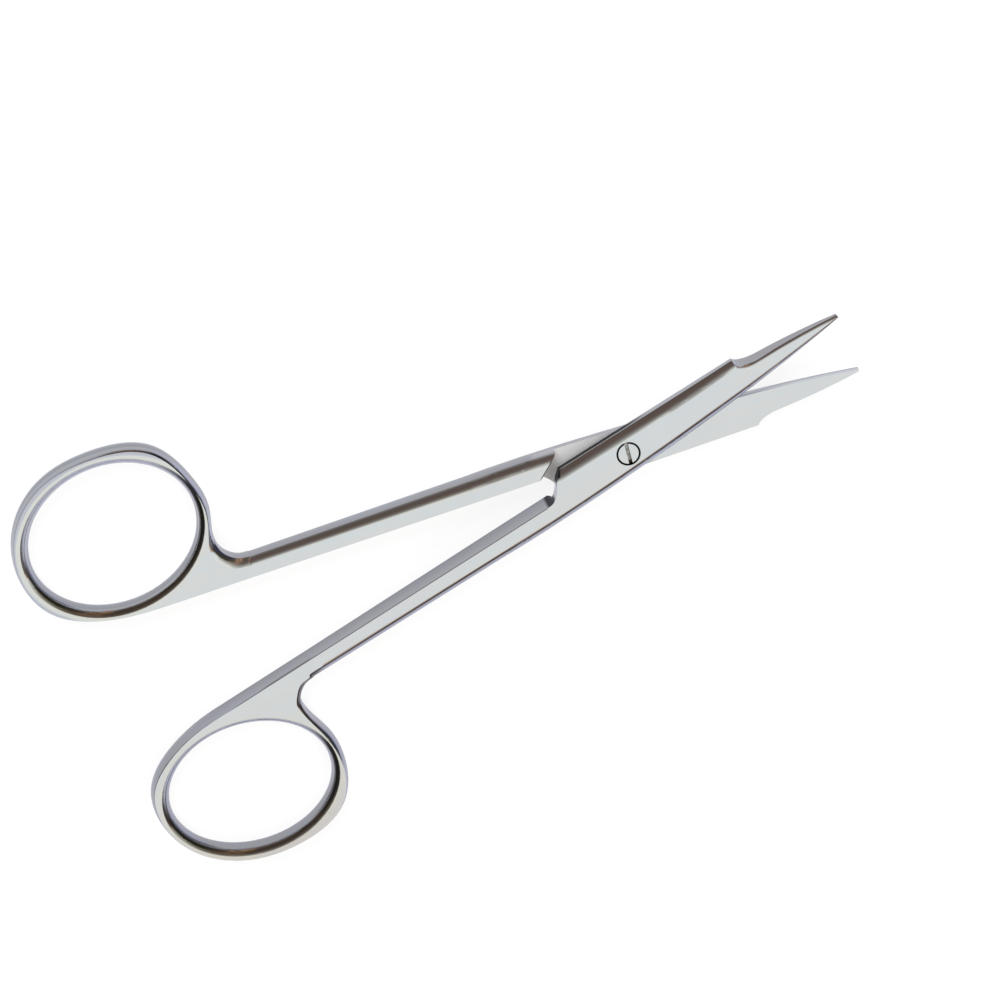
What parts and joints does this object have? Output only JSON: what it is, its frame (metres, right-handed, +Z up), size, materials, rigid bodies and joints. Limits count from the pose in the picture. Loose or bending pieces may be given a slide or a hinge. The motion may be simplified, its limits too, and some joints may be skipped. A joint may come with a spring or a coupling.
{
  "type": "tenotomy scissors",
  "caption": "Slim steel surgical scissors with oval finger rings, a half-lap joint on a slotted screw, and short blades stepped down to fine tapering tips.",
  "frame": {"origin": "on the pivot axis, in the plane that the lower half's joint rests on", "axes": "+X towards the tips along the midline between the halves, +Y towards the lower half's finger ring, +Z up along the pivot axis, out of the screw's slotted head"},
  "size_m": [0.1131, 0.0646, 0.0039],
  "materials": {
    "half_steel": "polished",
    "screw_steel": "polished"
  },
  "bodies": {
    "lower": {"lower_half": "half_steel", "pivot_screw": "screw_steel"},
    "upper": {"upper_half": "half_steel"}
  },
  "joints": [
    {"name": "pivot", "type": "hinge", "parent": "lower", "child": "upper", "pos_m": [0, 0, 0.00195], "axis": [0, 0, 1], "range_deg": [-14.33, 40]}
  ]
}
